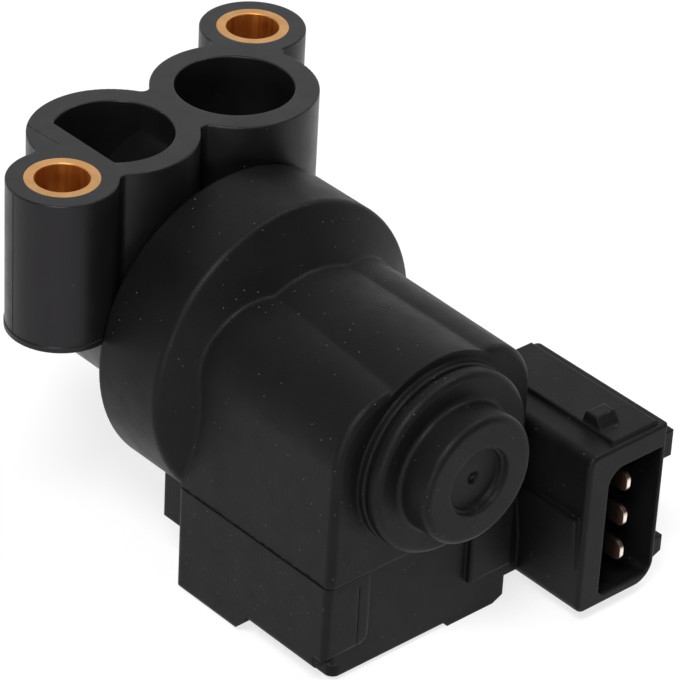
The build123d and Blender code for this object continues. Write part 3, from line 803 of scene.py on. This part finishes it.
@dataclass
class ActuatorHousing(SubAssembly):
    """The grained moulding round the motor, with the connector shell, a dark bead of painted shade along the
    joint over its coil block, and a fin of flash.
    """

    joint_x: float = -15.0 * MM
    joint_z: float = -37.5 * MM
    joint_ends: tuple[float, float] = (-46.9 * MM, -21.3 * MM)
    bead_mm: tuple[Spot, ...] = ((0.1, 0.1), (-0.02, 0.02), (-0.035, -0.06), (-0.02, -0.14), (0.1, -0.2))
    edge_front: Point = (-15.35 * MM, -47.3 * MM, -37.0 * MM)
    edge_rear: Point = (-15.55 * MM, -21.7 * MM, -37.0 * MM)
    flash_notches: int = 64
    flash_reach: float = 0.2 * MM
    flash_half: float = 0.1 * MM
    flash_root: float = 0.05 * MM
    flash_least: float = 0.1
    flash_wander: float = 0.5
    flash_seed: int = 4

    def build(self) -> None:
        """Build and dress the moulding, the painted shade along its joint and the flash."""
        self.skin("actuator_housing", GRAINED_BLACK, Body.HOUSING)
        self.joint()
        self.flash()

    def joint(self) -> None:
        """Lay a dark bead of painted shade along the joint's lower edge, where the overhanging edge above
        casts its shadow.
        """
        front, rear = self.joint_ends
        start = Vector((self.joint_x, front, self.joint_z))
        work = bmesh.new()
        corners = [start + Vector((out, 0, up)) * MM for out, up in self.bead_mm]
        self.draw_out(work, corners, Vector((0, rear - front, 0)))
        bmesh.ops.recalc_face_normals(work, faces=work.faces)
        self.place(work, "joint_bead", JOINT_SHADE_BLACK, Body.HOUSING)

    def flash(self) -> None:
        """Leave a thin, ragged fin of flash along the edge over the joint."""
        start = Vector(self.edge_front)
        path = Vector(self.edge_rear) - start
        root, half = self.flash_root, self.flash_half
        work = bmesh.new()
        corners = [start + Vector((out, 0, up)) for out, up in ((root, half), (0.0, 0.0), (root, -half))]
        self.draw_out(work, corners, path)
        long_edges = [edge for edge in work.edges if edge.calc_length() > path.length / 2]
        bmesh.ops.subdivide_edges(work, edges=long_edges, cuts=self.flash_notches, use_grid_fill=True)
        dice = random.Random(self.flash_seed)
        for vert in work.verts:
            share = (vert.co - start).dot(path) / path.length_squared
            if abs((vert.co - start - path * share).x) < root / 2:
                vert.co.x -= self.flash_reach * dice.uniform(self.flash_least, 1.0)
                vert.co.z += half * dice.uniform(-self.flash_wander, self.flash_wander)
        bmesh.ops.recalc_face_normals(work, faces=work.faces)
        self.place(work, "joint_flash", GRAINED_BLACK, Body.HOUSING)


@dataclass
class TerminalBlades(SubAssembly):
    """Three blades, coined round the tip and turned inwards behind the socket."""

    mid_x: float = 25.79 * MM
    thickness: float = 0.63 * MM
    tip: float = BLADE_TIP
    root: float = -35.37 * MM
    inner_end: float = 12.4 * MM
    mid_z: float = -40.1 * MM
    pitch: float = 5.08 * MM
    width: float = 2.8 * MM
    tip_radius: float = 1.1 * MM
    tip_steps: int = 8
    coining: float = 0.13 * MM
    coining_steps: int = 3
    coined_angle: float = 60.0

    def build(self) -> None:
        """Build the three blades."""
        for number, step in enumerate((1, 0, -1), start=1):
            self.blade(number, self.mid_z + step * self.pitch)

    def outline(self, height: float) -> list[Spot]:
        """Draw a blade from the side.

        Args:
            height: The height of the blade's middle.

        Returns:
            The outline's points along and up.
        """
        half = self.width / 2
        curve = []
        for step in range(self.tip_steps + 1):
            turn = math.radians(90 * step / self.tip_steps)
            along = self.tip + self.tip_radius * (1 - math.sin(turn))
            curve.append((along, half - self.tip_radius * (1 - math.cos(turn))))
        upper = [(self.root, height + half)] + [(along, height + rise) for along, rise in curve]
        lower = [(along, height - rise) for along, rise in reversed(curve)] + [(self.root, height - half)]
        return upper + lower

    def blade(self, number: int, height: float) -> None:
        """Build one blade with its inward run.

        Args:
            number: The blade's number.
            height: The height of its middle.
        """
        half = self.thickness / 2
        work = bmesh.new()
        corners = [Vector((self.mid_x - half, along, up)) for along, up in self.outline(height)]
        self.draw_out(work, corners, Vector((self.thickness, 0, 0)))
        reach = self.mid_x + half - self.inner_end
        size = Matrix.Diagonal((reach, self.thickness, self.width, 1))
        middle = Matrix.Translation((self.inner_end + reach / 2, self.root - half, height))
        bmesh.ops.create_cube(work, size=1.0, matrix=middle @ size)
        bmesh.ops.recalc_face_normals(work, faces=work.faces)
        self.soften(work, self.coining, self.coining_steps, self.coined_angle)
        self.place(work, f"coined_blade_{number}", TERMINAL_BRONZE, Body.HOUSING, f"terminal_{number}")


@dataclass
class SlideRotor(SubAssembly):
    """The shaft with the magnet and the rotary slide, and the shim and seal that it runs beside."""

    def build(self) -> None:
        """Dress the pieces that turn, the shim and the seal."""
        self.dress(MACHINED_ALUMINIUM, "rotary_slide")
        self.dress(GROUND_STEEL, "shaft", "shim_washer")
        self.dress(TURNED_ALUMINIUM, "rotor_hub")
        self.dress(SINTERED_MAGNET, "rotor_magnet")
        self.dress(SEAL_RUBBER, "seal_ring")


@dataclass
class BallBearings(SubAssembly):
    """The front and rear ball bearings."""

    ends: tuple[str, ...] = ("front", "rear")

    def build(self) -> None:
        """Dress both bearings."""
        for end in self.ends:
            for piece in ("outer_ring", "inner_ring", "balls"):
                self.dress(BEARING_STEEL, f"{end}_bearing_{piece}")
            self.dress(CAGE_STEEL, f"{end}_bearing_cage")


@dataclass
class Stator(SubAssembly):
    """The pole pieces, yoke and coil."""

    def build(self) -> None:
        """Dress the magnetic circuit and the windings."""
        self.dress(LAMINATED_STEEL, "left_pole_piece", "right_pole_piece", "yoke")
        self.dress(NATURAL_NYLON, "coil_bobbin")
        self.dress(ENAMELLED_COPPER, "opening_winding", "closing_winding")


@dataclass(frozen=True)
class Lamp:
    """A square soft lamp."""

    name: str
    place: Point
    size: float
    power: float


@dataclass
class Studio:
    """Floor, lamps, white surroundings and the camera that matches the photograph."""

    camera_place: Point = (-268.65 * MM, -318.65 * MM, 234.22 * MM)
    camera_target: Point = (-1.13 * MM, -32.73 * MM, -16.5 * MM)
    camera_roll: float = math.radians(3.24)
    camera_lens: float = 210.1
    camera_shift: tuple[float, float] = (-0.00126, 0.0056)
    camera_sensor: float = 36.0
    camera_range: tuple[float, float] = (0.01, 20.0)
    lamps: tuple[Lamp, ...] = (
        Lamp("key", (-0.43, -0.3, 0.68), 0.28, 6.5),
        Lamp("fill", (-0.62, -0.56, 0.05), 0.3, 2.5),
        Lamp("top", (0.38, -0.14, 0.8), 0.36, 3.2),
    )
    soft_light: float = 0.2
    room_side: Point = (-0.38, -0.72, 0.58)
    room_edge: tuple[float, float] = (-0.05, 0.45)
    room_light: float = 0.12
    floor_drop: float = 0.05 * MM
    floor_half: float = 1.5
    floor_glow: float = 0.75
    paper_colour: Colour = (0.3, 0.3, 0.3)

    def build(self, low: Vector) -> None:
        """Set up the stage.

        Args:
            low: The lowest corner of the object.
        """
        self.surroundings()
        self.floor(low.z - self.floor_drop)
        for lamp in self.lamps:
            self.hang(lamp)
        self.camera()

    @staticmethod
    def seen_directly(tree: bpy.types.NodeTree) -> bpy.types.NodeSocket:
        """Add a value that is 1 where a camera, a gloss or a glass ray looks.

        Args:
            tree: The node tree to add it to.

        Returns:
            The value's socket.
        """
        path = tree.nodes.new("ShaderNodeLightPath")
        total = path.outputs["Is Camera Ray"]
        for name in ("Is Glossy Ray", "Is Transmission Ray"):
            larger = tree.nodes.new("ShaderNodeMath")
            larger.operation = "MAXIMUM"
            tree.links.new(total, larger.inputs[0])
            tree.links.new(path.outputs[name], larger.inputs[1])
            total = larger.outputs[0]
        return total

    @staticmethod
    def backdrop(tree: bpy.types.NodeTree, strength: float) -> bpy.types.NodeSocket:
        """Add a white background of some strength.

        Args:
            tree: The world's node tree.
            strength: The background's strength.

        Returns:
            The background's socket.
        """
        node = tree.nodes.new("ShaderNodeBackground")
        node.inputs["Color"].default_value = (1, 1, 1, 1)
        node.inputs["Strength"].default_value = strength
        return node.outputs["Background"]

    @staticmethod
    def either(tree: bpy.types.NodeTree, share: bpy.types.NodeSocket, first: bpy.types.NodeSocket,
               second: bpy.types.NodeSocket) -> bpy.types.NodeSocket:
        """Blend two shaders.

        Args:
            tree: The node tree to add the blend to.
            share: The second shader's share.
            first: The shader at 0.
            second: The shader at 1.

        Returns:
            The blend's socket.
        """
        mix = tree.nodes.new("ShaderNodeMixShader")
        tree.links.new(share, mix.inputs["Fac"])
        tree.links.new(first, mix.inputs[1])
        tree.links.new(second, mix.inputs[2])
        return mix.outputs[0]

    def surroundings(self) -> None:
        """Give the world a soft light, a white backdrop and a dim room over the camera."""
        world = bpy.data.worlds.new("studio")
        bpy.context.scene.world = world
        world.use_nodes = True
        tree = world.node_tree
        tree.nodes.clear()
        way = tree.nodes.new("ShaderNodeTexCoord")
        towards = tree.nodes.new("ShaderNodeVectorMath")
        towards.operation = "DOT_PRODUCT"
        towards.inputs[1].default_value = self.room_side
        tree.links.new(way.outputs["Generated"], towards.inputs[0])
        share = tree.nodes.new("ShaderNodeMapRange")
        share.inputs["From Min"].default_value, share.inputs["From Max"].default_value = self.room_edge
        tree.links.new(towards.outputs["Value"], share.inputs["Value"])
        white = self.backdrop(tree, 1.0)
        seen = self.either(tree, share.outputs["Result"], white, self.backdrop(tree, self.room_light))
        both = self.either(tree, self.seen_directly(tree), self.backdrop(tree, self.soft_light), seen)
        output = tree.nodes.new("ShaderNodeOutputWorld")
        tree.links.new(both, output.inputs["Surface"])

    def floor(self, height: float) -> None:
        """Lay the floor, which looks white and keeps the object's shadow.

        Args:
            height: The floor's height.
        """
        mesh = bpy.data.meshes.new("floor")
        work = bmesh.new()
        bmesh.ops.create_grid(work, x_segments=1, y_segments=1, size=self.floor_half)
        bmesh.ops.translate(work, verts=work.verts, vec=(0, 0, height))
        work.to_mesh(mesh)
        work.free()
        floor = bpy.data.objects.new("floor", mesh)
        bpy.context.scene.collection.objects.link(floor)
        material = bpy.data.materials.new("floor_paper")
        material.use_nodes = True
        tree = material.node_tree
        tree.nodes.clear()
        paper = tree.nodes.new("ShaderNodeBsdfDiffuse")
        paper.inputs["Color"].default_value = (*self.paper_colour, 1)
        glow = tree.nodes.new("ShaderNodeEmission")
        glow.inputs["Strength"].default_value = self.floor_glow
        white = tree.nodes.new("ShaderNodeAddShader")
        tree.links.new(paper.outputs[0], white.inputs[0])
        tree.links.new(glow.outputs[0], white.inputs[1])
        output = tree.nodes.new("ShaderNodeOutputMaterial")
        both = self.either(tree, self.seen_directly(tree), paper.outputs[0], white.outputs[0])
        tree.links.new(both, output.inputs["Surface"])
        mesh.materials.append(material)
        floor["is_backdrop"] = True

    def hang(self, lamp: Lamp) -> None:
        """Hang a lamp so that it faces the object.

        Args:
            lamp: The lamp, with its place and side in metres and its power in watts.
        """
        light = bpy.data.lights.new(lamp.name, "AREA")
        light.shape = "SQUARE"
        light.size = lamp.size
        light.energy = lamp.power
        hung = bpy.data.objects.new(lamp.name, light)
        bpy.context.scene.collection.objects.link(hung)
        aim = Vector(self.camera_target) - Vector(lamp.place)
        hung.matrix_world = Matrix.Translation(lamp.place) @ aim.to_track_quat("-Z", "Y").to_matrix().to_4x4()

    def camera(self) -> None:
        """Set the camera where the photograph was taken."""
        data = bpy.data.cameras.new("photo_camera")
        data.lens = self.camera_lens
        data.sensor_width = self.camera_sensor
        data.shift_x, data.shift_y = self.camera_shift
        data.clip_start, data.clip_end = self.camera_range
        camera = bpy.data.objects.new("photo_camera", data)
        bpy.context.scene.collection.objects.link(camera)
        ahead = (Vector(self.camera_target) - Vector(self.camera_place)).normalized()
        level = ahead.cross(Vector((0, 0, 1))).normalized()
        up = level.cross(ahead)
        right = level * math.cos(self.camera_roll) + up * math.sin(self.camera_roll)
        top = up * math.cos(self.camera_roll) - level * math.sin(self.camera_roll)
        turn = Matrix((right, top, -ahead)).transposed().to_4x4()
        camera.matrix_world = Matrix.Translation(self.camera_place) @ turn
        bpy.context.scene.camera = camera


def main() -> None:
    """Build and dress the valve, then light it."""
    logging.basicConfig(level=logging.INFO, format="%(message)s")
    bpy.context.scene.view_settings.view_transform = "Standard"
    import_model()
    cad_low, cad_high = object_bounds()
    outside = (ValveBody(), ScrewBushes(), ActuatorHousing(), TerminalBlades())
    inside = (SlideRotor(), BallBearings(), Stator())
    for group in outside + inside:
        group.build()
    Studio().build(cad_low)


if __name__ == "__main__":
    main()
